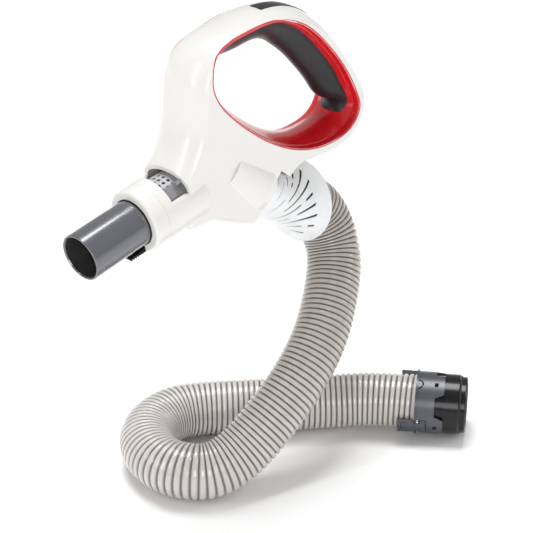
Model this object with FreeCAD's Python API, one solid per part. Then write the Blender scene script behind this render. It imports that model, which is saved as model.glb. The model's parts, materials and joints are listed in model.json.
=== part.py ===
"""Dryer hose handpiece: a loop handle with a bleed regulator, a swivelling hose and a latching machine cuff.

Frame: millimetres, +Z up, the origin at the centre of the hand grip. The handle lies in the XZ plane,
with its nozzle toward -X. The left side of the handle is -Y.
"""
import FreeCAD, Part
import math
import os

V = FreeCAD.Vector

# ---------------------------------------------------------------- driving dimensions
HALF_THICKNESS = 23.0        # half the width of the handle across Y
EDGE_ROUND = 10.0            # how far the outer edge rounds over, in the XZ plane
SHELL_WALL = 2.4
RUNNING_GAP = 0.05           # radial clearance between turning pieces

NOZZLE_TIP = V(-221, 0, -92)
NOZZLE_PITCH = 11.0          # degrees that the nozzle points down
NOZZLE_RADIUS = 17.3
NOZZLE_BORE = 15.5
COLLAR_RADIUS = 23.6
SLIP_FIT_END = 35.0          # all along the nozzle axis, from the tip: tools slide on as far as this
COLLAR_START = 50.5
BARREL_START = 62.5
WINDOW_START = 70.0
WINDOW_END = 85.5
DUCT_START = 72.0
LATCH_PIVOT = 54.5
LATCH_PIVOT_DEPTH = 20.4     # how far below the nozzle axis
LATCH_PIN_RADIUS = 1.2
SLEEVE_INNER = 18.2
SLEEVE_OUTER = 19.4
SLIDER_OUTER = 21.0
SLIDER_MIDDLE = 43.0         # degrees round from the top, toward the left side
SLIDER_HALF = 13.0

SWIVEL_BASE = V(-60.6, 0, -91.5)
SWIVEL_PITCH = -40.0         # degrees that the swivel axis points down, toward the rear
REAR_CUT = 19.4              # the belly's rear face reaches this far above the swivel axis
NECK_RADIUS = 17.5
NECK_BORE = 15.2
HORN_CORNER = V(-27.7, 0, -119.2)
RIM_CENTRE = V(-8.1, 3.2, -121.7)
RIM_AXIS = V(0.981, 0.158, -0.124)
RIM_RADIUS = 29.6
HORN_WALL = 2.2

# The horn's outer radius at each fraction of the way from the swivel to the rim
HORN_SECTIONS = [(0, 18.2), (0.25, 18.3), (0.45, 19.0), (0.62, 20.8), (0.78, 23.8), (0.91, 27.3), (1, RIM_RADIUS)]

HOSE_RADIUS = 21.0
HOSE_FIRST_RUN = 15.7        # from the end of the hose in the horn to the first point of its route
HOSE_OVERLAP = 10.0          # how far the hose runs past the base of the machine end
CUFF_RADIUS = 24.0

LEVER_ANGLES = {"latch_lever_front": 115.0, "latch_lever_back": -65.0}
LEVER_PIVOT = 14.0           # along the cuff axis from the base of the machine end
LEVER_PIVOT_RADIUS = 22.6
LEVER_HALF = 17.0            # degrees
LEVER_PIN_RADIUS = 0.8
LEVER_PIN_HALF = 7.7

STRIP_HALF = 5.5             # half the width of the palm strip
SCREW_PLACES = [(-119, -36), (-36, -77), (22, -74), (39, -34)]
BOSS_RADIUS = 3.4

# Outer outline of the loop and belly, in XZ, clockwise from the nozzle side's top
OUTLINE = [(-146, -56), (-137, -43), (-130.5, -28), (-128, -8), (-125, 11), (-118.5, 23.5), (-107, 32),
           (-86, 38), (-61, 41.5), (-38, 41), (-20, 36), (-3, 25), (17, 4), (34, -19), (45, -37),
           (48, -50), (44.5, -64), (32, -77), (12, -84), (-8, -84), (-24, -84), (-36, -92), (-46, -107),
           (-62, -117), (-80, -114), (-101, -105.2), (-122, -98.6), (-140, -96), (-147, -78)]

# Edge of the hand opening on each face, in XZ, clockwise from the left end
OPENING = [(-116, 12), (-111, 24), (-99, 31.5), (-80, 35.5), (-60, 37.5), (-41, 35.5), (-26, 29), (-12, 18.5),
           (5, 1), (20, -18), (31, -37), (36, -52), (28, -65), (11, -71), (-11, -71), (-35, -64.5),
           (-60, -51.5), (-83, -34.5), (-102, -17), (-113, -2)]

# How far the grip stands in from the opening's edge, at the same points
GRIP_DEPTH = [8, 10, 14, 17, 17, 19, 21, 21.5, 21.5, 21, 17, 11, 8, 7, 7, 7, 7, 7, 7, 7]

LINER_DEPTH = 5.5            # how far the red liner swells in from the opening's edge
LINER_WALL = 2.2
OPENING_HALF = 17.0          # the opening's edges lie this far from the middle plane

# Centre line of the hose after it leaves the horn, down to the floor, round and back
HOSE_ROUTE = [V(-2.5, 4.1, -122.4), V(11, 4, -130.2), V(21.3, 1.4, -143.6), V(25.5, -5.4, -163),
              V(19, -15, -181), V(0.5, -26.8, -200), V(-19.5, -36.5, -218), V(-46, -41, -240),
              V(-73.5, -39.5, -262.5), V(-101, -34.5, -284.5), V(-123, -27, -294.5), V(-138, -13, -295),
              V(-144, 7, -295), V(-139, 28, -295), V(-126, 45.5, -295), V(-107, 55, -295),
              V(-86.5, 55.5, -295), V(-68.5, 47, -295), V(-46, 28.5, -295), V(-20, 6, -295),
              V(8, -19.5, -294), V(33, -44, -291.5), V(52.3, -71.0, -291.5)]


# ---------------------------------------------------------------- helpers
def direction(pitch):
    """A unit vector in the XZ plane, pitched up from +X by so many degrees."""
    return V(math.cos(math.radians(pitch)), 0, math.sin(math.radians(pitch)))


def moved_inward(points, depth):
    """The points of a clockwise outline moved toward its inside, by one depth or one depth each."""
    result = []
    count = len(points)
    for i in range(count):
        before = points[i - 1]
        after = points[(i + 1) % count]
        dx = after[0] - before[0]
        dz = after[1] - before[1]
        length = math.hypot(dx, dz)
        step = depth[i] if isinstance(depth, list) else depth
        result.append((points[i][0] + step * dz / length, points[i][1] - step * dx / length))
    return result


def closed_wire(points, y):
    curve = Part.BSplineCurve()
    curve.interpolate(Points=[V(x, y, z) for x, z in points], PeriodicFlag=True)
    return Part.Wire(curve.toShape())


def pillow(points, half_thickness, edge_round, levels=4):
    """A solid with a rounded edge: the outline at y = 0, shrinking along a quarter ellipse toward both faces."""
    wires = []
    for i in range(-levels, levels + 1):
        y = half_thickness * 0.97 * math.sin(math.radians(90 * i / levels))
        inset = edge_round * (1 - math.sqrt(max(0, 1 - (y / half_thickness) ** 2)))
        wires.append(closed_wire(moved_inward(points, inset), y))
    return Part.makeLoft(wires, True, False)


def opening_solid(depth, extra, half):
    """The hand opening's space, for a wall that swells in by depth at y = 0, less an extra thickness."""
    wires = []
    inner_levels = [y for y in (5.5, 11, OPENING_HALF, OPENING_HALF + 3) if y < half - 1]
    for y in [-half] + [-y for y in reversed(inner_levels)] + [0] + inner_levels + [half]:
        swell = max(0, 1 - (y / OPENING_HALF) ** 2)
        depths = [d * swell + extra for d in depth]
        wires.append(closed_wire(moved_inward(OPENING, depths), y))
    return Part.makeLoft(wires, True, False)


def aligned(shape, base, axis, side=None):
    """Moves a shape made along +X onto a base point and axis, keeping its Y axis horizontal."""
    x_axis = V(axis).normalize()
    y_axis = V(0, 0, 1).cross(x_axis).normalize()
    z_axis = x_axis.cross(y_axis)
    matrix = FreeCAD.Matrix(x_axis.x, y_axis.x, z_axis.x, base.x,
                            x_axis.y, y_axis.y, z_axis.y, base.y,
                            x_axis.z, y_axis.z, z_axis.z, base.z,
                            0, 0, 0, 1)
    placed = shape.copy()
    placed.Placement = FreeCAD.Placement(matrix).multiply(shape.Placement)
    return placed


def turned(profile, base, axis):
    """A solid of revolution: the profile's (distance, radius) points turned about the axis from the base."""
    points = [V(a, 0, r) for a, r in profile]
    face = Part.Face(Part.makePolygon(points + [points[0]]))
    return aligned(face.revolve(V(0, 0, 0), V(1, 0, 0), 360), base, axis)


def ring(start, end, inner, outer, base, axis):
    return turned([(start, inner), (start, outer), (end, outer), (end, inner)], base, axis)


def disc(start, end, radius, base, axis):
    return turned([(start, 0), (start, radius), (end, radius), (end, 0)], base, axis)


def local_box(x0, x1, y0, y1, z0, z1, base, axis):
    """A box in the frame of an axis: x along it, y across, z outward."""
    return aligned(Part.makeBox(x1 - x0, y1 - y0, z1 - z0, V(x0, y0, z0)), base, axis)


def sector(start, end, inner, outer, middle, half_angle, base, axis):
    """Part of a ring about an axis, half_angle degrees each side of the middle angle, measured from its top."""
    span = 2 * half_angle
    points = [V(start, 0, inner), V(start, 0, outer), V(end, 0, outer), V(end, 0, inner)]
    face = Part.Face(Part.makePolygon(points + [points[0]]))
    solid = face.revolve(V(0, 0, 0), V(1, 0, 0), span)
    solid.rotate(V(0, 0, 0), V(1, 0, 0), middle - half_angle)
    return aligned(solid, base, axis)


def outward(angle, axis):
    """The unit vector away from an axis at so many degrees from its top, turning from +Z toward -Y."""
    x_axis = V(axis).normalize()
    y_axis = V(0, 0, 1).cross(x_axis).normalize()
    z_axis = x_axis.cross(y_axis)
    return z_axis * math.cos(math.radians(angle)) - y_axis * math.sin(math.radians(angle))


def rounded_path(points):
    """Straight runs joined by tangent arcs, each arc as large as its two runs allow."""
    edges = []
    radii = []
    start = points[0]
    for i in range(1, len(points) - 1):
        before = points[i] - points[i - 1]
        after = points[i + 1] - points[i]
        reach = 0.45 * min(before.Length, after.Length)
        half_turn = before.getAngle(after) / 2
        radius = reach / math.tan(half_turn)
        radii.append(radius)
        u = V(before).normalize()
        w = V(after).normalize()
        first = points[i] - u * reach
        last = points[i] + w * reach
        toward = (w - u).normalize()
        middle = points[i] + toward * (radius / math.cos(half_turn) - radius)
        edges.append(Part.LineSegment(start, first).toShape())
        edges.append(Part.Arc(first, middle, last).toShape())
        start = last
    edges.append(Part.LineSegment(start, points[-1]).toShape())
    return Part.Wire(edges), radii


def save(node, shape):
    if shape.ShapeType == "Compound" and len(shape.Solids) == 1:
        shape = shape.Solids[0]
    if not shape.isValid() or shape.Volume <= 0:
        raise ValueError("bad shape: " + node)
    print(f"{node:20s} solids {len(shape.Solids)} volume {shape.Volume:9.0f}")
    shape.exportStep(f"parts/{node}.step")


# ---------------------------------------------------------------- axes
nozzle_axis = direction(NOZZLE_PITCH)
swivel_axis = direction(SWIVEL_PITCH)
rim_axis = V(RIM_AXIS).normalize()
hose_start = HOSE_ROUTE[0] - rim_axis * HOSE_FIRST_RUN
cuff_axis = (HOSE_ROUTE[-1] - HOSE_ROUTE[-2]).normalize()
cuff_base = HOSE_ROUTE[-1] - cuff_axis * HOSE_OVERLAP


def duct_corner():
    """Where the nozzle axis meets the swivel axis, inside the belly."""
    gap = SWIVEL_BASE - NOZZLE_TIP
    across = nozzle_axis.x * swivel_axis.z - nozzle_axis.z * swivel_axis.x
    along = (gap.x * swivel_axis.z - gap.z * swivel_axis.x) / across
    return NOZZLE_TIP + nozzle_axis * along


# ---------------------------------------------------------------- nozzle end
def nozzle_tube():
    seat_radius = NOZZLE_RADIUS - 0.2
    profile = [(0, NOZZLE_BORE + 0.5), (0, NOZZLE_RADIUS - 0.5), (0.6, NOZZLE_RADIUS), (SLIP_FIT_END, NOZZLE_RADIUS),
               (SLIP_FIT_END, seat_radius), (65.5, seat_radius), (65.5, 19.2), (68.5, 19.2), (68.5, NOZZLE_BORE),
               (0.8, NOZZLE_BORE)]
    return turned(profile, NOZZLE_TIP, nozzle_axis)


def nozzle_collar():
    inner = NOZZLE_RADIUS + 0.1
    profile = [(COLLAR_START, inner), (COLLAR_START, COLLAR_RADIUS - 1.6),
               (COLLAR_START + 0.6, COLLAR_RADIUS - 0.6), (COLLAR_START + 1.8, COLLAR_RADIUS),
               (BARREL_START - 0.1, COLLAR_RADIUS + 0.3), (BARREL_START - 0.1, 21.4), (65.4, 21.4), (65.4, inner)]
    collar = turned(profile, NOZZLE_TIP, nozzle_axis)
    latch_slot = local_box(50, 58.2, -6.6, 6.6, -25, -17.4, NOZZLE_TIP, nozzle_axis)
    spring_pocket = local_box(51.2, 58.2, -9.2, 9.2, -22.6, -18.2, NOZZLE_TIP, nozzle_axis)
    pin_hole = aligned(Part.makeCylinder(LATCH_PIN_RADIUS, 23, V(LATCH_PIVOT, -11.5, -LATCH_PIVOT_DEPTH), V(0, 1, 0)),
                       NOZZLE_TIP, nozzle_axis)
    return collar.cut(Part.makeCompound([latch_slot])).cut(spring_pocket).cut(pin_hole)


def latch_pin():
    return aligned(Part.makeCylinder(LATCH_PIN_RADIUS, 23, V(LATCH_PIVOT, -11.5, -LATCH_PIVOT_DEPTH), V(0, 1, 0)),
                   NOZZLE_TIP, nozzle_axis)


def latch_spring():
    """A torsion spring on the pin beside the latch."""
    coil = Part.makeCylinder(2.0, 1.9, V(LATCH_PIVOT, 6.9, -LATCH_PIVOT_DEPTH), V(0, 1, 0))
    core = Part.makeCylinder(1.3, 1.9, V(LATCH_PIVOT, 6.9, -LATCH_PIVOT_DEPTH), V(0, 1, 0))
    return aligned(coil.cut(core), NOZZLE_TIP, nozzle_axis)


def nozzle_latch():
    """A ribbed thumb lever under the nozzle tube, on a cross pin in the collar."""
    outline = [(36, -20.2), (36.6, -21.6), (49.5, -22.4), (52.5, -22.6), (57.2, -22.4), (57.2, -18.6),
               (52.5, -18.6), (47, -20.0)]
    points = [V(x, -6.2, z) for x, z in outline]
    body = Part.Face(Part.makePolygon(points + [points[0]])).extrude(V(0, 12.4, 0))
    for i in range(6):
        rib = Part.makeBox(0.9, 11.4, 2.2, V(37.6 + 2.1 * i, -5.7, -23.1))
        body = body.fuse(rib)
    hole = Part.makeCylinder(LATCH_PIN_RADIUS + RUNNING_GAP, 14, V(LATCH_PIVOT, -7, -LATCH_PIVOT_DEPTH), V(0, 1, 0))
    return aligned(body.cut(hole).removeSplitter(), NOZZLE_TIP, nozzle_axis)


# ---------------------------------------------------------------- bleed regulator
def regulator_sleeve():
    """The perforated half sleeve behind the window, with three rows of bleed holes."""
    sleeve = sector(69.2, 89, SLEEVE_INNER, SLEEVE_OUTER, 0, 80, NOZZLE_TIP, nozzle_axis)
    drills = []
    for row in range(3):
        for column in range(7):
            angle = -54 + 14 * column
            start = NOZZLE_TIP + nozzle_axis * (73.6 + 4.4 * row) + outward(angle, nozzle_axis) * 17
            drills.append(Part.makeCylinder(1.35, 4, start, outward(angle, nozzle_axis)))
    return sleeve.cut(Part.makeCompound(drills))


def regulator_slider():
    """The slide that turns about the nozzle axis to cover the bleed holes, with a raised thumb lip."""
    start = WINDOW_START + 0.6
    end = WINDOW_END - 0.6
    band = sector(start, end, SLEEVE_OUTER + RUNNING_GAP, SLIDER_OUTER, SLIDER_MIDDLE, SLIDER_HALF,
                  NOZZLE_TIP, nozzle_axis)
    lip = sector(end - 4.2, end, SLIDER_OUTER - 0.6, 25.6, SLIDER_MIDDLE - 6, 3.2, NOZZLE_TIP, nozzle_axis)
    rail = sector(start, start + 1.4, SLIDER_OUTER - 0.6, 22.4, SLIDER_MIDDLE, SLIDER_HALF,
                  NOZZLE_TIP, nozzle_axis)
    return band.fuse([lip, rail]).removeSplitter()


# ---------------------------------------------------------------- air path inside the belly
def elbow(start, corner, end, radius):
    """Two rods that meet in a mitre at the corner."""
    first = (corner - start).normalize()
    second = (end - corner).normalize()
    ahead = local_box(0, 80, -40, 40, -40, 40, corner, first + second)
    lead = Part.makeCylinder(radius, (corner - start).Length + radius, start, first)
    tail = Part.makeCylinder(radius, (end - corner).Length + radius, end, -second)
    return lead.cut(ahead).fuse(tail.common(ahead)).removeSplitter()


def air_duct():
    start = NOZZLE_TIP + nozzle_axis * DUCT_START
    end = SWIVEL_BASE - swivel_axis * 22.4
    corner = duct_corner()
    duct = elbow(start, corner, end, 17.2).cut(elbow(start, corner, end, NOZZLE_BORE))
    bleed_slot = local_box(DUCT_START + 1, 84, -9, 9, 12, 19, NOZZLE_TIP, nozzle_axis)
    return duct.cut(bleed_slot)


def duct_seal():
    return ring(68.6, DUCT_START, NOZZLE_BORE + 0.3, 17.2, NOZZLE_TIP, nozzle_axis)


# ---------------------------------------------------------------- swivel
def swivel_bearing():
    return ring(-15, -3.4, NECK_RADIUS + RUNNING_GAP, 20.5, SWIVEL_BASE, swivel_axis)


def swivel_snap_ring():
    """A split ring in the neck's groove, behind the bearing."""
    whole = ring(-17.2, -15.7, 16.5, 19.4, SWIVEL_BASE, swivel_axis)
    split = local_box(-18, -15, -2, 2, 14, 22, SWIVEL_BASE, swivel_axis)
    return whole.cut(split)


def swivel_seal():
    return ring(-22.4, -19.6, NECK_BORE + 0.3, 17.4, SWIVEL_BASE, swivel_axis)


def horn_shape(radii):
    """A bent bell lofted along a smooth line from the swivel axis to the rim's axis."""
    wires = []
    first = SWIVEL_BASE + swivel_axis * 0.5
    for t, radius in radii:
        centre = first * (1 - t) ** 2 + HORN_CORNER * (2 * t * (1 - t)) + RIM_CENTRE * t ** 2
        tangent = (HORN_CORNER - first) * (1 - t) + (RIM_CENTRE - HORN_CORNER) * t
        wires.append(Part.Wire(Part.Circle(centre, tangent, radius).toShape()))
    return Part.makeLoft(wires, True, False)


def swivel_horn():
    outer = horn_shape(HORN_SECTIONS)
    bore = [(t, max(NECK_BORE, r - HORN_WALL - 0.6 * (1 - t))) for t, r in HORN_SECTIONS]
    hollow = horn_shape(bore).fuse(disc(0, 9, HOSE_RADIUS + 0.1, hose_start, rim_axis))
    neck_profile = [(-19, NECK_BORE), (-19, NECK_RADIUS), (-17.4, NECK_RADIUS), (-17.4, 16.4), (-15.5, 16.4),
                    (-15.5, NECK_RADIUS), (0.5, NECK_RADIUS), (0.5, NECK_BORE)]
    neck = turned(neck_profile, SWIVEL_BASE, swivel_axis)
    lip_profile = [(-0.2, RIM_RADIUS - 3), (-0.2, RIM_RADIUS + 0.4), (1.2, RIM_RADIUS + 0.8),
                   (2.6, RIM_RADIUS + 0.4), (3.0, RIM_RADIUS - 0.6), (2.6, RIM_RADIUS - 3)]
    lip = turned(lip_profile, RIM_CENTRE, rim_axis)
    horn = outer.cut(hollow).fuse([neck, lip])
    return horn.cut(Part.makeCompound(horn_slots())).removeSplitter()


def horn_slots():
    """Narrow vents in the bell that slant round it."""
    slots = []
    t = 0.6
    first = SWIVEL_BASE + swivel_axis * 0.5
    centre = first * (1 - t) ** 2 + HORN_CORNER * (2 * t * (1 - t)) + RIM_CENTRE * t ** 2
    tangent = ((HORN_CORNER - first) * (1 - t) + (RIM_CENTRE - HORN_CORNER) * t).normalize()
    for i in range(10):
        slot = Part.makeBox(13, 1.2, 16, V(-6.5, -0.6, 16))
        slot.rotate(V(0, 0, 20), V(0, 0, 1), 16)
        slot.rotate(V(0, 0, 0), V(1, 0, 0), 36 * i)
        slots.append(aligned(slot, centre, tangent))
    return slots


def hose_cuff():
    """The clamp sleeve inside the horn that holds the end of the hose."""
    return turned([(-5, 15.6), (-5, 18.8), (-0.02, 21.2), (-0.02, 15.6)], hose_start, rim_axis)


# ---------------------------------------------------------------- hose
def hose():
    points = [hose_start] + HOSE_ROUTE
    path, radii = rounded_path(points)
    circle = Part.Wire(Part.Circle(points[0], points[1] - points[0], HOSE_RADIUS).toShape())
    tube = path.makePipeShell([circle], True, False)
    print("hose length", round(path.Length, 1), "least bend radius", round(min(radii), 1))
    print("hose radii", [round(r) for r in radii])
    print("hose volume", round(tube.Volume), "section times length",
          round(math.pi * HOSE_RADIUS ** 2 * path.Length))
    return tube


# ---------------------------------------------------------------- machine end
def hose_end_cuff():
    """The sleeve glued to the end of the hose, with a flange that the machine cuff turns on."""
    profile = [(HOSE_OVERLAP, 16.6), (HOSE_OVERLAP, 20.8), (14, 20.8), (14, 19.0), (18, 19.0), (18, 20.2),
               (20, 20.2), (20, 16.6)]
    return turned(profile, cuff_base, cuff_axis)


def machine_cuff():
    profile = [(14.3, 19.0 + RUNNING_GAP), (14.3, 21.4), (33.8, 21.4), (33.8, 23.4), (45.0, 23.4), (45.8, 22.6),
               (45.8, 21.4), (46.8, 21.4), (46.8, 21.9), (50.0, 21.9), (50.8, 21.2), (50.8, 18.4), (43, 17.6),
               (20.4, 17.6), (20.4, 20.2 + RUNNING_GAP), (17.8, 20.2 + RUNNING_GAP), (17.8, 19.0 + RUNNING_GAP)]
    return turned(profile, cuff_base, cuff_axis)


def cuff_seal():
    """The rubber ring in the groove near the plug's end."""
    return ring(45.85, 46.75, 21.45, 22.3, cuff_base, cuff_axis)


def radial_prism(outline, angle):
    """A prism that cuts the collar's wall: its outline along and across the axis, facing out at an angle."""
    points = [V(x, y, 15) for x, y in outline]
    prism = Part.Face(Part.makePolygon(points + [points[0]])).extrude(V(0, 0, 13))
    prism.rotate(V(0, 0, 0), V(1, 0, 0), angle)
    return aligned(prism, cuff_base, cuff_axis)


def tongue_slot(angle):
    """A half-round slot that leaves a spring tongue in the collar's wall."""
    slot = Part.makeCylinder(4.4, 8, V(13.2, 0, 18)).cut(Part.makeCylinder(3.3, 8, V(13.2, 0, 18)))
    slot = slot.common(Part.makeBox(8, 12, 10, V(13.2, -6, 17)))
    slot.rotate(V(0, 0, 0), V(1, 0, 0), angle)
    return aligned(slot, cuff_base, cuff_axis)


def latch_collar():
    """The grey collar round the cuff: a flange, two lever slots, four windows and a wavy far edge."""
    collar = ring(11.6, 33.7, 21.5, CUFF_RADIUS, cuff_base, cuff_axis)
    collar = collar.fuse(ring(11.6, 12.8, 21.5, CUFF_RADIUS + 1.2, cuff_base, cuff_axis))
    cuts = []
    for angle in LEVER_ANGLES.values():
        cuts.append(sector(11, 21, 21, 27, angle, LEVER_HALF + 1.2, cuff_base, cuff_axis))
        cuts.append(tongue_slot(angle - 90))
        for side in (-1, 1):
            cuts.append(sector(26, 29, 21, 27, angle + 45 + 45 * side, 4.5, cuff_base, cuff_axis))
            cuts.append(radial_prism([(26.8, -7.4), (26.8, 7.4), (34, 10.5), (34, -10.5)], angle + 45 * side))
    for cut in cuts:
        collar = collar.cut(cut)
    return collar.cut(lever_pins()).removeSplitter()


def lever_pin_line(angle, half_length):
    """A cylinder across the collar at a lever's pivot: its start point and direction."""
    out = outward(angle, cuff_axis)
    across = cuff_axis.cross(out).normalize()
    centre = cuff_base + cuff_axis * LEVER_PIVOT + out * LEVER_PIVOT_RADIUS
    return centre - across * half_length, across


def latch_lever(angle):
    """A squeeze lever: thumb pad over the hose end, cross pin, arm and hook."""
    pad = sector(LEVER_PIVOT - 15.5, LEVER_PIVOT - 3, 22.6, 25.2, angle, LEVER_HALF - 1, cuff_base, cuff_axis)
    arm = sector(LEVER_PIVOT - 3.1, 20.4, 22.0, 24.4, angle, LEVER_HALF - 6, cuff_base, cuff_axis)
    shoulders = sector(16.2, 20.4, 22.0, 24.2, angle, LEVER_HALF, cuff_base, cuff_axis)
    boss = sector(LEVER_PIVOT - 1.3, LEVER_PIVOT + 1.3, 21.55, 24.9, angle, LEVER_HALF - 6, cuff_base, cuff_axis)
    lever = pad.fuse([arm, shoulders, boss])
    for i in range(3):
        rib_start = LEVER_PIVOT - 14.4 + 2.6 * i
        lever = lever.fuse(sector(rib_start, rib_start + 1.2, 25.1, 25.9, angle, LEVER_HALF - 4,
                                  cuff_base, cuff_axis))
    start, across = lever_pin_line(angle, LEVER_PIN_HALF)
    hole = Part.makeCylinder(LEVER_PIN_RADIUS + RUNNING_GAP, 2 * LEVER_PIN_HALF, start, across)
    return lever.cut(hole).removeSplitter()


def lever_pins():
    pins = []
    for angle in LEVER_ANGLES.values():
        start, across = lever_pin_line(angle, LEVER_PIN_HALF)
        pins.append(Part.makeCylinder(LEVER_PIN_RADIUS, 2 * LEVER_PIN_HALF, start, across))
    return Part.makeCompound(pins)


def lever_springs():
    """A torsion coil on each cross pin, beside the lever's arm."""
    coils = []
    for angle in LEVER_ANGLES.values():
        start, across = lever_pin_line(angle, 6.6)
        coil = Part.makeCylinder(1.6, 1.5, start, across)
        coils.append(coil.cut(Part.makeCylinder(0.9, 1.5, start, across)))
    return Part.makeCompound(coils)


# ---------------------------------------------------------------- handle
def outer_body():
    """The whole outside of the handle: loop and belly, the barrel toward the nozzle and the swivel's mouth."""
    body = pillow(OUTLINE, HALF_THICKNESS, EDGE_ROUND)
    barrel = turned([(BARREL_START, 0), (BARREL_START, COLLAR_RADIUS + 0.3), (100, 25.0), (100, 0)],
                    NOZZLE_TIP, nozzle_axis)
    mouth = turned([(-45, 0), (-45, 24), (-6, 26.5), (0, 25.5), (0, 0)], SWIVEL_BASE, swivel_axis)
    rear = local_box(0, 80, -40, 40, -60, REAR_CUT, SWIVEL_BASE, swivel_axis)
    return body.fuse([barrel, mouth]).cut(rear)


def inner_space():
    """The hollow inside the shells, which stops short of the rear face and the hand opening's wall."""
    space = pillow(moved_inward(OUTLINE, SHELL_WALL), HALF_THICKNESS - SHELL_WALL, EDGE_ROUND - 1)
    barrel = turned([(BARREL_START - 2, 0), (BARREL_START - 2, 21.5), (WINDOW_START - 1, 21.5),
                     (WINDOW_START - 1, 22.0), (98, 22.2), (98, 0)], NOZZLE_TIP, nozzle_axis)
    mouth = turned([(-43, 0), (-43, 21.6), (-6, 24.1), (-3.3, 23.7), (-3.3, 0)], SWIVEL_BASE, swivel_axis)
    rear = local_box(-3.3, 80, -40, 40, -60, REAR_CUT, SWIVEL_BASE, swivel_axis)
    round_opening = opening_solid([LINER_DEPTH] * len(OPENING), -SHELL_WALL, 24)
    return space.fuse([barrel, mouth]).cut(rear).cut(round_opening)


def strip_zone():
    """The band along the top and rear of the outer edge that the palm strip covers."""
    corners = [(-52, 32), (-52, 60), (70, 60), (70, -30), (36, -30), (20, -12), (0, 12), (-20, 26)]
    points = [V(x, -STRIP_HALF, z) for x, z in corners]
    return Part.Face(Part.makePolygon(points + [points[0]])).extrude(V(0, 2 * STRIP_HALF, 0))


def palm_strip():
    outer = pillow(moved_inward(OUTLINE, -0.5), HALF_THICKNESS + 0.5, EDGE_ROUND)
    under = pillow(moved_inward(OUTLINE, 1.1), HALF_THICKNESS - 1.1, EDGE_ROUND)
    strip = outer.common(strip_zone()).cut(under)
    return max(strip.Solids, key=lambda s: s.Volume)


def shells():
    opening = opening_solid([LINER_DEPTH] * len(OPENING), 0, 26)
    outside = outer_body()
    bosses = []
    for x, z in SCREW_PLACES:
        boss = Part.makeCylinder(BOSS_RADIUS, 2 * HALF_THICKNESS, V(x, -HALF_THICKNESS, z), V(0, 1, 0))
        bosses.append(boss)
    seat = ring(-15, -3, 20.5, 24.9, SWIVEL_BASE, swivel_axis)
    walls = outside.cut(inner_space())
    walls = walls.fuse(Part.makeCompound(bosses + [seat]).common(outside)).cut(opening)
    window = local_box(WINDOW_START, WINDOW_END, -30, 30, 11.5, 30, NOZZLE_TIP, nozzle_axis)
    cuts = [window, disc(-16, 6, 18.6, SWIVEL_BASE, swivel_axis), disc(-15, -3.3, 20.5, SWIVEL_BASE, swivel_axis),
            disc(50, 69, 21.5, NOZZLE_TIP, nozzle_axis), air_space()]
    walls = walls.cut(cuts).cut(palm_strip())
    for x, z in SCREW_PLACES:
        shank = Part.makeCylinder(1.3, 20, V(x, -11.9, z), V(0, 1, 0))
        head = Part.makeCylinder(2.6, 20, V(x, 8, z), V(0, 1, 0))
        walls = walls.cut(shank).cut(head)
    half_space = Part.makeBox(400, 60, 400, V(-250, -60, -250))
    left = walls.common(half_space)
    half_space.translate(V(0, 60, 0))
    right = walls.common(half_space)
    return largest(left), largest(right)


def air_space():
    """Room for the duct, the regulator sleeve and the seals."""
    start = NOZZLE_TIP + nozzle_axis * 66
    end = SWIVEL_BASE - swivel_axis * 15.5
    return elbow(start, duct_corner(), end, 20.6)


def largest(shape):
    return max(shape.Solids, key=lambda s: s.Volume)


def shell_screws():
    screws = []
    for x, z in SCREW_PLACES:
        shank = Part.makeCylinder(1.3, 19.8, V(x, -11.8, z), V(0, 1, 0))
        head = Part.makeCylinder(2.5, 2.0, V(x, 8, z), V(0, 1, 0))
        cross = Part.makeBox(2.6, 1.2, 0.7, V(x - 1.3, 9, z - 0.35))
        screws.append(shank.fuse(head).cut(cross).removeSplitter())
    return Part.makeCompound(screws)


def loop_trim_ring():
    """The liner round the hand opening, from one face to the other."""
    depth = [LINER_DEPTH] * len(OPENING)
    return opening_solid(depth, 0.05, OPENING_HALF).cut(opening_solid(depth, LINER_WALL, OPENING_HALF + 1))


def finger_grip():
    """The soft grip inside the top and rear of the loop."""
    depth = [LINER_DEPTH] * len(OPENING)
    seat = opening_solid(depth, LINER_WALL + 0.2, OPENING_HALF - 3.5)
    hollow = opening_solid(GRIP_DEPTH, 0, OPENING_HALF - 3.0)
    corners = [(-112, 4), (-125, 60), (80, 60), (80, -66), (24, -57), (-5, -25), (-50, 5)]
    points = [V(x, -30, z) for x, z in corners]
    zone = Part.Face(Part.makePolygon(points + [points[0]])).extrude(V(0, 60, 0))
    return largest(seat.cut(hollow).common(zone))


def main():
    os.makedirs("parts", exist_ok=True)
    left, right = shells()
    save("left_shell", left)
    save("right_shell", right)
    save("loop_trim_ring", loop_trim_ring())
    save("finger_grip", finger_grip())
    save("palm_strip", palm_strip())
    save("shell_screws", shell_screws())
    save("nozzle_tube", nozzle_tube())
    save("nozzle_collar", nozzle_collar())
    save("nozzle_latch", nozzle_latch())
    save("latch_pin", latch_pin())
    save("latch_spring", latch_spring())
    save("regulator_sleeve", regulator_sleeve())
    save("regulator_slider", regulator_slider())
    save("air_duct", air_duct())
    save("duct_seal", duct_seal())
    save("swivel_bearing", swivel_bearing())
    save("swivel_snap_ring", swivel_snap_ring())
    save("swivel_seal", swivel_seal())
    save("swivel_horn", swivel_horn())
    save("hose_cuff", hose_cuff())
    save("hose", hose())
    save("hose_end_cuff", hose_end_cuff())
    save("machine_cuff", machine_cuff())
    save("cuff_seal", cuff_seal())
    save("latch_collar", latch_collar())
    for node, angle in LEVER_ANGLES.items():
        save(node, latch_lever(angle))
    save("lever_pins", lever_pins())
    save("lever_springs", lever_springs())


main()
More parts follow.
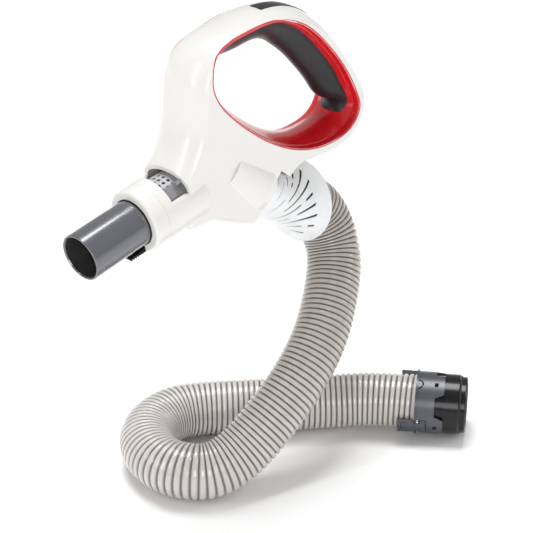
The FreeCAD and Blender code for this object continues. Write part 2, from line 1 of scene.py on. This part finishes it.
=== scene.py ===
import bpy
import bmesh
import json
import math
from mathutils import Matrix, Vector


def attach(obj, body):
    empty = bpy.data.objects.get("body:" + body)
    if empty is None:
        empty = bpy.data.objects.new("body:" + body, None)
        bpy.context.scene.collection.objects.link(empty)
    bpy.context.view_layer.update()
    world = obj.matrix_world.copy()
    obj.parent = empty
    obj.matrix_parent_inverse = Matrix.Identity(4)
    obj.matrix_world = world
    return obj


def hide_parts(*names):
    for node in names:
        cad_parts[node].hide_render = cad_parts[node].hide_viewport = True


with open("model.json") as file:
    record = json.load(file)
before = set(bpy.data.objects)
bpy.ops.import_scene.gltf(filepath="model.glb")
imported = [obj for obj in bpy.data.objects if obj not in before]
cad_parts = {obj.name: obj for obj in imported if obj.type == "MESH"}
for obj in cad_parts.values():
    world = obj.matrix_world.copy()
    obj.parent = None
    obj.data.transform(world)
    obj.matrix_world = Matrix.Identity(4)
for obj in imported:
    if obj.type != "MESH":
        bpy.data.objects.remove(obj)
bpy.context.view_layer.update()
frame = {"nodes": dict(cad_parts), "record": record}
nodes = frame["nodes"]

# Lengths are in metres and angles in degrees.

# ---------------------------------------------------------------- values: camera, floor and lights
CAMERA_PLACE = (-0.9972, -0.9237, 0.5132)
CAMERA_AZIMUTH = 46
CAMERA_ELEVATION = 27
CAMERA_LENS = 135.1          # millimetres, as the sensor's width is
SENSOR_WIDTH = 36.0
NEAR_CLIP = 0.05
FLOOR = -0.316
FLOOR_HALF_SIZE = 40.0
WORLD_STRENGTH = 0.40
SUN_STRENGTH = 2.35
SUN_WIDTH = 28               # the sun's apparent width, which softens its shadows
SUN_DIRECTION = (-0.10, -0.21, -1)
# Each area light's name, place, target, width and height, and power in watts
AREA_LIGHTS = [
    ("front_left", (-1.0, -0.9, 0.25), (-0.08, 0, -0.1), (0.5, 0.5), 4.6),
    ("left_strip", (-1.3, 0.3, 0.5), (-0.1, 0, -0.15), (0.10, 1.0), 3.5),
    ("right_strip", (0.9, -0.9, 0.6), (0, 0, -0.15), (0.10, 0.9), 3.5),
]

# ---------------------------------------------------------------- values: materials
# A surface grain is the scale of its noise and the depth of its bumps
POLISHED = (1200, 0.00001)
SATIN = (900, 0.00003)
HORN_SATIN = (1000, 0.00002)
HOSE_GRAIN = (700, 0.00003)
RUBBERY = (1500, 0.00006)
METALLIC = (900, 0.00001)
PAPER = (60, 0.00002)
GRAIN_DETAIL = 2.0
GRAIN_STRENGTH = 0.3
# A gloss is the scale of its noise, and the lowest and highest roughness
HOSE_GLOSS = (200, 0.2, 0.3)
HORN_GLOSS = (150, 0.3, 0.4)
MOULDED_GLOSS_SCALE = 120
MOULDED_GLOSS_SHARE = 0.15   # by how much of itself a moulded surface's roughness varies
NOISE_DETAIL = 4.0
MOTTLE_SCALE = 38            # noise of the mottle in a moulded surface's colour
MOTTLE_LOW = 0.3             # the noise values where the mottle is darkest and lightest
MOTTLE_HIGH = 0.7
COAT_ROUGHNESS = 0.05
HOSE_COAT = 0.8
HOSE_COAT_ROUGHNESS = 0.06
HOSE_CLOUD_SCALE = 55
HORN_MOTTLE_SCALE = 60

MOULDED = {
    "shell_white": dict(colour=(0.76, 0.745, 0.72), roughness=0.25, variation=0.01,
                        grain=POLISHED, coat=0.3),
    "trim_red": dict(colour=(0.62, 0.008, 0.014), roughness=0.20, variation=0.05,
                     grain=POLISHED, coat=0.5),
    "grip_charcoal": dict(colour=(0.016, 0.015, 0.018), roughness=0.34, variation=0.12,
                          grain=RUBBERY, specular=0.3),
    "nozzle_grey": dict(colour=(0.135, 0.137, 0.155), roughness=0.2, variation=0.04,
                        grain=POLISHED, coat=0.5, metallic=0.3),
    "vent_grey": dict(colour=(0.46, 0.465, 0.48), roughness=0.40, variation=0.05, grain=SATIN),
    "slider_grey": dict(colour=(0.24, 0.24, 0.25), roughness=0.38, variation=0.06, grain=SATIN),
    "latch_black": dict(colour=(0.012, 0.012, 0.013), roughness=0.5, variation=0.1,
                        grain=SATIN, specular=0.12),
    "cuff_black": dict(colour=(0.008, 0.008, 0.009), roughness=0.2, variation=0.1,
                       grain=POLISHED, specular=0.3),
    "collar_grey": dict(colour=(0.085, 0.089, 0.104), roughness=0.34, variation=0.06,
                        grain=SATIN, metallic=0.3),
    "bearing_plastic": dict(colour=(0.6, 0.6, 0.59), roughness=0.5, variation=0.03, grain=SATIN),
    "seal_rubber": dict(colour=(0.02, 0.02, 0.02), roughness=0.7, variation=0.2, grain=RUBBERY),
    "steel": dict(colour=(0.6, 0.6, 0.6), roughness=0.3, variation=0.05, grain=METALLIC,
                  metallic=1.0),
}
FLOOR_LOOK = dict(colour=(0.97, 0.97, 0.97), roughness=0.9, variation=0.005, grain=PAPER)

# The hose wall's colour from groove to crown, painted shade in the grooves and painted light on
# the crowns, and its tint from horn to cuff, painted shade that makes the run rising to the horn
# darker and browner
PAINTED_RIB_SHADING = [(0.0, (0.10, 0.084, 0.07)), (0.4, (0.31, 0.285, 0.26)),
                 (0.8, (0.57, 0.545, 0.52)), (1.0, (0.66, 0.635, 0.61))]
PAINTED_RISE_SHADING = [(0.0, (0.62, 0.58, 0.55)), (0.25, (0.76, 0.73, 0.70)),
               (0.42, (0.95, 0.935, 0.92)), (0.6, (0.93, 0.935, 0.94)), (0.8, (1, 1, 1)),
               (1.0, (0.93, 0.92, 0.90))]
HOSE_CLOUD = [(MOTTLE_LOW, (0.93, 0.92, 0.91)), (MOTTLE_HIGH, (1, 1, 1))]
# The horn's colour from its plain wall to the bottom of a vent, near black there as painted shade
# in the vent
VENT_PAINTED_SHADE = [(0.3, (0.82, 0.83, 0.84)), (0.6, (0.012, 0.012, 0.013))]
HORN_MOTTLE = [(MOTTLE_LOW, (0.98, 0.98, 0.98)), (MOTTLE_HIGH, (1, 1, 1))]

# ---------------------------------------------------------------- values: hose
HOSE_RADIUS = 0.021
RIB_DEPTH = 0.0013
RIB_COUNT = 137
RINGS_PER_RIB = 12
HOSE_SEGMENTS = 48
GROOVE_SHARPNESS = 4         # the larger it is, the narrower the groove between two ribs
CLAMPED_RIBS = 3             # ribs that the clamp squeezes together inside the horn
CLAMPED_SHARE = 0.8          # the hose's radius at its clamped end, as a share of its own
TANGENT_REACH = 3            # rings to each side that a ring's direction is taken from

# The hose's centre line, from inside the horn down to the floor, round and back to the cuff
HOSE_ROUTE = [
    (-0.0179, 0.0016, -0.1205), (-0.0025, 0.0041, -0.1224), (0.011, 0.004, -0.1302),
    (0.0213, 0.0014, -0.1436), (0.0255, -0.0054, -0.163), (0.019, -0.015, -0.181),
    (0.0005, -0.0268, -0.2), (-0.0195, -0.0365, -0.218), (-0.046, -0.041, -0.24),
    (-0.0735, -0.0395, -0.2625), (-0.101, -0.0345, -0.2845), (-0.123, -0.027, -0.2945),
    (-0.138, -0.013, -0.295), (-0.144, 0.007, -0.295), (-0.139, 0.028, -0.295),
    (-0.126, 0.0455, -0.295), (-0.107, 0.055, -0.295), (-0.0865, 0.0555, -0.295),
    (-0.0685, 0.047, -0.295), (-0.046, 0.0285, -0.295), (-0.02, 0.006, -0.295),
    (0.008, -0.0195, -0.294), (0.033, -0.044, -0.2915), (0.0523, -0.071, -0.2915),
]
ROUTE_ORDER = 3
ROUTE_RESOLUTION = 60

# ---------------------------------------------------------------- values: nozzle and red rims
NOZZLE_TIP = Vector((-0.221, 0, -0.092))
NOZZLE_RISE = math.radians(11)
NOZZLE_AXIS = Vector((math.cos(NOZZLE_RISE), 0, math.sin(NOZZLE_RISE)))
SLEEVE_SEGMENTS = 96
# Each dark sleeve's start and end from the nozzle's tip, and its inner and outer radius
SLEEVES = {
    # painted shade: a near-black sleeve inside the bore, whose grey wall lies in shade
    "nozzle_painted_shade_sleeve": (0.0009, 0.0684, 0.0152, 0.01545),
    "collar_seam": (0.0621, 0.0627, 0.0234, 0.02385),
    "nozzle_gap_ring": (0.0496, 0.0505, 0.0173, 0.0177),
    "bleed_screen": (0.0692, 0.0890, 0.0179, 0.0181),
}

# Edge of the hand opening and outer outline of the loop and belly, in XZ, clockwise
OPENING = [
    (-0.116, 0.012), (-0.111, 0.024), (-0.099, 0.0315), (-0.08, 0.0355), (-0.06, 0.0375),
    (-0.041, 0.0355), (-0.026, 0.029), (-0.012, 0.0185), (0.005, 0.001), (0.02, -0.018),
    (0.031, -0.037), (0.036, -0.052), (0.028, -0.065), (0.011, -0.071), (-0.011, -0.071),
    (-0.035, -0.0645), (-0.06, -0.0515), (-0.083, -0.0345), (-0.102, -0.017), (-0.113, -0.002),
]
OUTLINE = [
    (-0.1305, -0.028), (-0.128, -0.008), (-0.125, 0.011), (-0.1185, 0.0235), (-0.107, 0.032),
    (-0.086, 0.038), (-0.061, 0.0415), (-0.038, 0.041), (-0.02, 0.036), (-0.003, 0.025),
    (0.017, 0.004), (0.034, -0.019), (0.045, -0.037), (0.048, -0.05), (0.0445, -0.064),
    (0.032, -0.077), (0.012, -0.084), (-0.008, -0.084), (-0.024, -0.084), (-0.036, -0.092),
]
OPENING_SHARES = 12          # points for each stretch of those two lines
OUTLINE_SHARES = 24
HALF_THICKNESS = 0.023
EDGE_ROUND = 0.010
FACE_LIMIT = 0.97            # a rim stays below this share of the handle's half thickness
LINER_EDGE = 0.0168          # the CAD liner ends this far from the middle plane
RIM_OVER_FACE = 0.0003
RIM_UNDER_LINER = 0.0002     # how far below the liner's edge a rim may end
RIM_LAP = 0.0012             # how far a rim laps over the liner
RIM_BACK = -0.0001           # where a rim starts and ends, measured into the opening
RIM_FRONT = 0.0021
RIM_FOOT = 0.0004            # how high its front stands straight
# A rim's rounded top: how far into the opening, and how far from the rim's full height
RIM_TOP = [(RIM_BACK, -0.0002), (0.0003, 0), (0.0010, -0.0003), (0.0016, -0.0010)]

# ---------------------------------------------------------------- values: swivel horn
SWIVEL_BASE = Vector((-0.0606, 0, -0.0915))
SWIVEL_DROP = math.radians(40)
SWIVEL_AXIS = Vector((math.cos(SWIVEL_DROP), 0, -math.sin(SWIVEL_DROP)))
HORN_GAP = 0.0005            # between the swivel's face and the bell's first section
HORN_START = SWIVEL_BASE + SWIVEL_AXIS * HORN_GAP
HORN_CORNER = Vector((-0.0277, 0, -0.1192))
RIM_CENTRE = Vector((-0.0068, 0.0018, -0.1215))
# The horn's outer radius at each fraction of the way from the swivel to the rim
HORN_SECTIONS = [(0, 0.0183), (0.4, 0.0184), (0.6, 0.0193), (0.72, 0.0209), (0.82, 0.0238),
                 (0.92, 0.0281), (1, 0.0312)]
SMOOTHING_REACH = 0.05       # over which fraction to each side the radius is averaged
SMOOTHING_STEPS = 4
HORN_BORE = 0.0152
HORN_WALL = 0.0026
# The neck inside the shells: distance along the swivel's axis, and radius
HORN_NECK = [(-0.019, HORN_BORE), (-0.019, 0.0175), (-0.0004, 0.0175)]
# The rounded lip: how far in front of the rim's centre, and how much past its radius
HORN_LIP = [(0.0003, 0.0004), (0.0012, 0.0008), (0.0022, 0.0006), (0.0029, -0.0002),
            (0.003, -0.0010), (0.0026, -0.0019), (0.0014, -0.0025), (0, -0.0029)]
OUTER_ROWS = 150
INNER_ROWS = 33
INNER_START = 0.98           # fraction of the first inner row, and the step to the next
INNER_STEP = 0.03
SIDE_SWELL = 0.0030          # how far the horn swells to each side at the swivel
SWELL_END = 0.6              # the fraction where that swelling has died out
VENT_LINES = 16              # slanting lines of vents round the horn
VENT_SLANT = 85              # how far a line turns while its fraction grows by a factor of e
VENT_ANCHOR = 0.84           # the fraction where a line is at its own angle
VENT_LEAST = 0.1             # below this fraction a line turns no further
VENT_TURN = 10               # the first line's own angle, from the horn's top
VENT_DEPTH = 0.0015
VENT_HALF = 2.8              # half the angle that a vent takes
# Columns of vertices to each side of a line
VENT_COLUMNS = [1.4, 2.7, 2.9, 3.3, 4.1, 5.4, 7.2, 9.2]
# Where the vents of each line start and end, as fractions of the way to the rim
VENT_DASHES = [
    [(0.35, 0.87)],
    [(0.14, 0.28), (0.35, 0.84)],
    [(0.31, 0.61), (0.69, 0.81)],
    [(0.17, 0.28), (0.41, 0.52), (0.6, 0.84)],
    [(0.51, 0.87)],
    [(0.12, 0.2), (0.63, 0.78), (0.83, 0.89)],
]


# ---------------------------------------------------------------- camera, floor and lights
def add_object(name, data):
    """A new object in the scene that holds the data."""
    added = bpy.data.objects.new(name, data)
    bpy.context.scene.collection.objects.link(added)
    return added


def aim(item, direction):
    """Turn a camera or light so that it looks along a direction."""
    item.rotation_euler = Vector(direction).to_track_quat("-Z", "Y").to_euler()


def make_camera():
    data = bpy.data.cameras.new("Camera")
    data.lens = CAMERA_LENS
    data.sensor_width = SENSOR_WIDTH
    data.clip_start = NEAR_CLIP
    camera = add_object("Camera", data)
    camera.location = CAMERA_PLACE
    azimuth = math.radians(CAMERA_AZIMUTH)
    elevation = math.radians(CAMERA_ELEVATION)
    aim(camera, (math.sin(azimuth) * math.cos(elevation),
                 math.cos(azimuth) * math.cos(elevation), -math.sin(elevation)))
    bpy.context.scene.camera = camera


def area_light(name, place, target, size, power):
    data = bpy.data.lights.new(name, "AREA")
    data.shape = "RECTANGLE"
    data.size, data.size_y = size
    data.energy = power
    light = add_object(name, data)
    light.location = place
    aim(light, Vector(target) - Vector(place))


def make_studio():
    world = bpy.data.worlds.new("Studio")
    world.use_nodes = True
    background = world.node_tree.nodes["Background"]
    background.inputs["Color"].default_value = (1, 1, 1, 1)
    background.inputs["Strength"].default_value = WORLD_STRENGTH
    bpy.context.scene.world = world
    bpy.context.scene.view_settings.view_transform = "Standard"
    mesh = bpy.data.meshes.new("floor")
    builder = bmesh.new()
    bmesh.ops.create_grid(builder, x_segments=4, y_segments=4, size=FLOOR_HALF_SIZE)
    builder.to_mesh(mesh)
    builder.free()
    floor = add_object("floor", mesh)
    floor.location = (0, 0, FLOOR)
    floor.data.materials.append(moulded("floor_paper", **FLOOR_LOOK))
    sky = bpy.data.lights.new("overhead", "SUN")
    sky.energy = SUN_STRENGTH
    sky.angle = math.radians(SUN_WIDTH)
    aim(add_object("overhead", sky), SUN_DIRECTION)
    for light in AREA_LIGHTS:
        area_light(*light)


# ---------------------------------------------------------------- materials
def new_material(name):
    material = bpy.data.materials.new(name)
    material.use_nodes = True
    tree = material.node_tree
    return material, tree, tree.nodes["Principled BSDF"]


def set_inputs(shader, **values):
    """Set a shader's inputs by their names, with _ for each space."""
    for key, value in values.items():
        shader.inputs[key.replace("_", " ")].default_value = value


def noise(tree, scale, detail=NOISE_DETAIL):
    """A noise of the object's own coordinates."""
    coordinates = tree.nodes.new("ShaderNodeTexCoord")
    texture = tree.nodes.new("ShaderNodeTexNoise")
    texture.inputs["Scale"].default_value = scale
    texture.inputs["Detail"].default_value = detail
    tree.links.new(coordinates.outputs["Object"], texture.inputs["Vector"])
    return texture.outputs["Fac"]


def attribute(tree, name):
    """The value that each vertex has under that name."""
    node = tree.nodes.new("ShaderNodeAttribute")
    node.attribute_name = name
    return node.outputs["Fac"]


def ramp(tree, value, stops):
    """A colour that follows a value through (position, colour) stops."""
    node = tree.nodes.new("ShaderNodeValToRGB")
    node.color_ramp.elements[0].position = stops[0][0]
    node.color_ramp.elements[0].color = (*stops[0][1], 1)
    node.color_ramp.elements[1].position = stops[-1][0]
    node.color_ramp.elements[1].color = (*stops[-1][1], 1)
    for position, colour in stops[1:-1]:
        node.color_ramp.elements.new(position).color = (*colour, 1)
    tree.links.new(value, node.inputs["Fac"])
    return node.outputs["Color"]


def multiply(tree, first, second):
    """The product of two colours."""
    node = tree.nodes.new("ShaderNodeMix")
    node.data_type = "RGBA"
    node.blend_type = "MULTIPLY"
    node.inputs["Factor"].default_value = 1.0
    tree.links.new(first, node.inputs["A"])
    tree.links.new(second, node.inputs["B"])
    return node.outputs["Result"]


def surface(tree, shader, colour, gloss, grain):
    """Give a shader its colour, a roughness that varies over the surface, and a fine grain."""
    gloss_scale, low, high = gloss
    grain_scale, depth = grain
    tree.links.new(colour, shader.inputs["Base Color"])
    roughness = tree.nodes.new("ShaderNodeMapRange")
    roughness.inputs["To Min"].default_value = low
    roughness.inputs["To Max"].default_value = high
    tree.links.new(noise(tree, gloss_scale), roughness.inputs["Value"])
    tree.links.new(roughness.outputs["Result"], shader.inputs["Roughness"])
    bump = tree.nodes.new("ShaderNodeBump")
    bump.inputs["Strength"].default_value = GRAIN_STRENGTH
    bump.inputs["Distance"].default_value = depth
    tree.links.new(noise(tree, grain_scale, GRAIN_DETAIL), bump.inputs["Height"])
    tree.links.new(bump.outputs["Normal"], shader.inputs["Normal"])


def moulded(name, colour, roughness, variation, grain, coat=0.0, metallic=0.0, specular=0.5):
    """Moulded plastic or metal: a faint mottle in its colour and gloss, with a fine grain."""
    material, tree, shader = new_material(name)
    low = tuple(c * (1 - variation) for c in colour)
    high = tuple(min(1.0, c * (1 + variation)) for c in colour)
    mottle = ramp(tree, noise(tree, MOTTLE_SCALE), [(MOTTLE_LOW, low), (MOTTLE_HIGH, high)])
    gloss = (MOULDED_GLOSS_SCALE, roughness * (1 - MOULDED_GLOSS_SHARE),
             roughness * (1 + MOULDED_GLOSS_SHARE))
    surface(tree, shader, mottle, gloss, grain)
    set_inputs(shader, Metallic=metallic, Coat_Weight=coat, Coat_Roughness=COAT_ROUGHNESS,
               Specular_IOR_Level=specular)
    return material


def hose_material():
    """Clear grey hose wall: painted light on each crown, painted shade in the grooves, and darker,
    browner painted shade where it rises to the horn.
    """
    material, tree, shader = new_material("hose_clear_grey")
    # painted shade in the grooves and painted light on the crowns
    crown = ramp(tree, attribute(tree, "crown"), PAINTED_RIB_SHADING)
    cloud = ramp(tree, noise(tree, HOSE_CLOUD_SCALE), HOSE_CLOUD)
    # painted shade: darker and browner where the hose rises to the horn
    along = ramp(tree, attribute(tree, "along"), PAINTED_RISE_SHADING)
    colour = multiply(tree, multiply(tree, crown, cloud), along)
    surface(tree, shader, colour, HOSE_GLOSS, HOSE_GRAIN)
    set_inputs(shader, Coat_Weight=HOSE_COAT, Coat_Roughness=HOSE_COAT_ROUGHNESS)
    return material


def horn_material():
    """Cool white satin plastic whose vents are painted dark as painted shade."""
    material, tree, shader = new_material("horn_white")
    wall = ramp(tree, attribute(tree, "vent"), VENT_PAINTED_SHADE)
    mottle = ramp(tree, noise(tree, HORN_MOTTLE_SCALE), HORN_MOTTLE)
    surface(tree, shader, multiply(tree, wall, mottle), HORN_GLOSS, HORN_SATIN)
    return material


def make_materials():
    made = {name: moulded(name, **look) for name, look in MOULDED.items()}
    made["horn_white"] = horn_material()
    made["hose_clear_grey"] = hose_material()
    return made


def dress_nodes(made):
    """Give every carried-over CAD node the material of its slot."""
    slots = {part["node"]: part["material_slot"] for part in frame["record"]["subparts"]}
    for name, piece in nodes.items():
        piece.data.materials.clear()
        piece.data.materials.append(made[slots[name]])


# ---------------------------------------------------------------- meshes
def ring_faces(rings, size, closed=True):
    """Quads between rings of so many vertices, and from the last ring to the first if closed."""
    faces = []
    for ring in range(rings if closed else rings - 1):
        a = ring * size
        b = (ring + 1) % rings * size
        for i in range(size):
            j = (i + 1) % size
            faces.append((a + i, a + j, b + j, b + i))
    return faces


def mesh_object(name, vertices, faces, material):
    """An object in the scene whose quads are smooth and whose other faces are flat."""
    mesh = bpy.data.meshes.new(name)
    mesh.from_pydata([tuple(v) for v in vertices], [], faces)
    mesh.polygons.foreach_set("use_smooth", [len(f) == 4 for f in faces])
    mesh.validate()
    mesh.update()
    piece = add_object(name, mesh)
    piece.data.materials.append(material)
    return piece


def piece_from(name, vertices, faces, material, body):
    """A piece that rides on a body and has a material slot."""
    piece = mesh_object(name, vertices, faces, material)
    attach(piece, body)
    return piece


def add_values(piece, name, values):
    """Give every vertex of a piece a value that its material reads."""
    layer = piece.data.attributes.new(name, "FLOAT", "POINT")
    layer.data.foreach_set("value", values)


def across(axis):
    """Two unit vectors across an axis: its left and its top."""
    left = Vector((0, 0, 1)).cross(axis).normalized()
    return left, axis.cross(left)


# ---------------------------------------------------------------- hose
def route_line(points):
    """Closely spaced points along the NURBS line that has those control points."""
    curve = bpy.data.curves.new("hose_line", "CURVE")
    curve.dimensions = "3D"
    spline = curve.splines.new("NURBS")
    spline.points.add(len(points) - 1)
    for point, place in zip(spline.points, points):
        point.co = (*place, 1)
    spline.order_u = ROUTE_ORDER
    spline.use_endpoint_u = True
    spline.resolution_u = ROUTE_RESOLUTION
    carrier = bpy.data.objects.new("hose_line", curve)
    mesh = bpy.data.meshes.new_from_object(carrier)
    line = [vertex.co.copy() for vertex in mesh.vertices]
    bpy.data.objects.remove(carrier)
    bpy.data.meshes.remove(mesh)
    return line


def evenly(line, count):
    """count + 1 points at equal distances along a line, with the line's length."""
    reach = [0.0]
    for before, after in zip(line, line[1:]):
        reach.append(reach[-1] + (after - before).length)
    result = []
    j = 0
    for i in range(count + 1):
        wanted = reach[-1] * i / count
        while j < len(line) - 2 and reach[j + 1] < wanted:
            j += 1
        share = (wanted - reach[j]) / (reach[j + 1] - reach[j])
        result.append(line[j].lerp(line[j + 1], share))
    return result, reach[-1]


def make_hose(material):
    """A corrugated tube with a helical groove between its ribs, swept without twist."""
    line = route_line([Vector(p) for p in HOSE_ROUTE])
    count = RIB_COUNT * RINGS_PER_RIB
    clamped = CLAMPED_RIBS * RINGS_PER_RIB
    centres, length = evenly(line, count)
    tangents = [(centres[min(i + TANGENT_REACH, count)]
                 - centres[max(i - TANGENT_REACH, 0)]).normalized() for i in range(count + 1)]
    side = tangents[0].cross(Vector((0, 0, 1))).normalized()
    vertices = []
    crowns = []
    for i in range(count + 1):
        side = (side - tangents[i] * side.dot(tangents[i])).normalized()
        up = tangents[i].cross(side)
        squeeze = min(1.0, CLAMPED_SHARE + (1 - CLAMPED_SHARE) * i / clamped)
        for k in range(HOSE_SEGMENTS):
            turn = k / HOSE_SEGMENTS
            phase = i / RINGS_PER_RIB + turn
            crown = 1 - (0.5 + 0.5 * math.cos(2 * math.pi * phase)) ** GROOVE_SHARPNESS
            radius = (HOSE_RADIUS - RIB_DEPTH * (1 - crown)) * squeeze
            angle = 2 * math.pi * turn
            out = side * math.cos(angle) + up * math.sin(angle)
            vertices.append(centres[i] + out * radius)
            crowns.append(crown)
    faces = ring_faces(count + 1, HOSE_SEGMENTS, closed=False)
    faces.append(tuple(range(HOSE_SEGMENTS))[::-1])
    faces.append(tuple(range(count * HOSE_SEGMENTS, (count + 1) * HOSE_SEGMENTS)))
    piece = mesh_object("hose_ribbed", vertices, faces, material)
    # These values carry the painted shade in the grooves, the painted light on the crowns and the
    # painted shade towards the horn
    add_values(piece, "crown", crowns)
    add_values(piece, "along", [i // HOSE_SEGMENTS / count for i in range(len(vertices))])
    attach(piece, "swivel")
    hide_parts("hose")


# ---------------------------------------------------------------- nozzle and red rims
def make_sleeves(material):
    """Thin dark rings round the nozzle's axis: a painted shade sleeve in the bore, two shadow gaps
    and a screen.
    """
    left, top = across(NOZZLE_AXIS)
    for name, (start, end, inner, outer) in SLEEVES.items():
        profile = [(start, inner), (start, outer), (end, outer), (end, inner)]
        vertices = []
        for k in range(SLEEVE_SEGMENTS):
            angle = 2 * math.pi * k / SLEEVE_SEGMENTS
            out = top * math.cos(angle) - left * math.sin(angle)
            for distance, radius in profile:
                vertices.append(NOZZLE_TIP + NOZZLE_AXIS * distance + out * radius)
        faces = ring_faces(SLEEVE_SEGMENTS, len(profile))
        piece_from(name, vertices, faces, material, "handle")


def closed_line(points, share_count):
    """Points along a smooth closed line through the given (x, z) points."""
    result = []
    count = len(points)
    for i in range(count):
        a, b, c, d = (Vector(points[(i + k) % count]) for k in (-1, 0, 1, 2))
        for n in range(share_count):
            t = n / share_count
            result.append(0.5 * (2 * b + (c - a) * t + (2 * a - 5 * b + 4 * c - d) * t ** 2
                                 + (3 * b - a - 3 * c + d) * t ** 3))
    return result


def face_height(place, outline):
    """How far from the middle plane the handle's rounded face lies above an (x, z) place."""
    inset = min((place - point).length for point in outline)
    drop = max(0.0, 1 - inset / EDGE_ROUND)
    return min(FACE_LIMIT * HALF_THICKNESS, HALF_THICKNESS * math.sqrt(1 - drop ** 2))


def make_trim_edges(material):
    """The red liner's rims, which reach from the liner to each face of the handle."""
    edge = closed_line(OPENING, OPENING_SHARES)
    # The outline's last stretch, from the belly back to the nozzle, is no edge of the loop
    outline = closed_line(OUTLINE, OUTLINE_SHARES)[:-OUTLINE_SHARES]
    count = len(edge)
    for name, sign in (("trim_edge_left", -1), ("trim_edge_right", 1)):
        vertices = []
        for k in range(count):
            along = edge[(k + 1) % count] - edge[k - 1]
            inward = Vector((along.y, -along.x)).normalized()
            high = max(LINER_EDGE - RIM_UNDER_LINER,
                       face_height(edge[k], outline) + RIM_OVER_FACE)
            low = min(LINER_EDGE, high) - RIM_LAP
            section = [(RIM_BACK, low)] + [(depth, high + rise) for depth, rise in RIM_TOP]
            section += [(RIM_FRONT, low + RIM_FOOT), (RIM_FRONT, low)]
            for depth, height in section:
                place = edge[k] + inward * depth
                vertices.append((place.x, sign * height, place.y))
        faces = ring_faces(count, len(section))
        if sign < 0:
            faces = [quad[::-1] for quad in faces]
        piece_from(name, vertices, faces, material, "handle")


# ---------------------------------------------------------------- swivel horn
def between(table, t):
    """The value at t on the straight lines through a table of (t, value) pairs."""
    for (t0, v0), (t1, v1) in zip(table, table[1:]):
        if t <= t1:
            share = (t - t0) / (t1 - t0)
            return v0 + (v1 - v0) * share
    return table[-1][1]


def horn_radius(t):
    """The horn's radius, with the corners between its sections smoothed out."""
    samples = []
    for i in range(-SMOOTHING_STEPS, SMOOTHING_STEPS + 1):
        near = t + SMOOTHING_REACH * i / SMOOTHING_STEPS
        samples.append(between(HORN_SECTIONS, min(1.0, max(0.0, near))))
    return sum(samples) / len(samples)


def horn_frame(t):
    """The centre of the horn's section at a fraction t, with its axis, left and top."""
    centre = HORN_START * (1 - t) ** 2 + HORN_CORNER * (2 * t * (1 - t)) + RIM_CENTRE * t ** 2
    axis = ((HORN_CORNER - HORN_START) * (1 - t) + (RIM_CENTRE - HORN_CORNER) * t).normalized()
    left, top = across(axis)
    return centre, axis, left, top


def horn_rows():
    """The horn's rings, as (centre, left, top, radius, t, outside), round its closed section."""
    left, top = across(SWIVEL_AXIS)
    rows = [(SWIVEL_BASE + SWIVEL_AXIS * distance, left, top, radius, 0.0, False)
            for distance, radius in HORN_NECK]
    for i in range(OUTER_ROWS + 1):
        t = i / OUTER_ROWS
        centre, _, left, top = horn_frame(t)
        rows.append((centre, left, top, horn_radius(t), t, True))
    centre, axis, left, top = horn_frame(1.0)
    rim = HORN_SECTIONS[-1][1]
    for forward, grow in HORN_LIP:
        rows.append((centre + axis * forward, left, top, rim + grow, 1.0, False))
    for i in range(INNER_ROWS):
        t = INNER_START - INNER_STEP * i
        centre, _, left, top = horn_frame(t)
        rows.append((centre, left, top, max(HORN_BORE, horn_radius(t) - HORN_WALL), t, False))
    return rows


def vent_at(t, line, step):
    """1 inside a vent and 0 outside it, at a fraction t and an angle to the side of a line."""
    inside = any(start < t < end for start, end in VENT_DASHES[line % len(VENT_DASHES)])
    return 1.0 if inside and abs(step) < VENT_HALF else 0.0


def make_horn(material):
    """A bent bell with a smooth lip, a neck inside the shells and slanting sunken vents."""
    steps = [-180 / VENT_LINES] + [-step for step in reversed(VENT_COLUMNS)] + [0] + VENT_COLUMNS
    rows = horn_rows()
    vertices = []
    vents = []
    for centre, left, top, radius, t, outside in rows:
        turn = VENT_SLANT * math.log(VENT_ANCHOR / max(t, VENT_LEAST))
        for line in range(VENT_LINES):
            for step in steps:
                angle = math.radians(360 / VENT_LINES * line + VENT_TURN + step + turn)
                out = top * math.cos(angle) - left * math.sin(angle)
                depth = swell = 0.0
                if outside:
                    depth = vent_at(t, line, step)
                    swell = SIDE_SWELL * math.sin(angle) ** 2 * max(0.0, 1 - t / SWELL_END)
                vertices.append(centre + out * (radius + swell - VENT_DEPTH * depth))
                vents.append(depth)
    faces = ring_faces(len(rows), VENT_LINES * len(steps))
    piece = piece_from("horn_vented", vertices, faces, material, "swivel")
    # the vent mask also paints the vents' shade
    add_values(piece, "vent", vents)
    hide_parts("swivel_horn")


make_camera()
make_studio()
made = make_materials()
dress_nodes(made)
make_hose(made["hose_clear_grey"])
make_horn(made["horn_white"])
make_sleeves(made["latch_black"])
make_trim_edges(made["trim_red"])
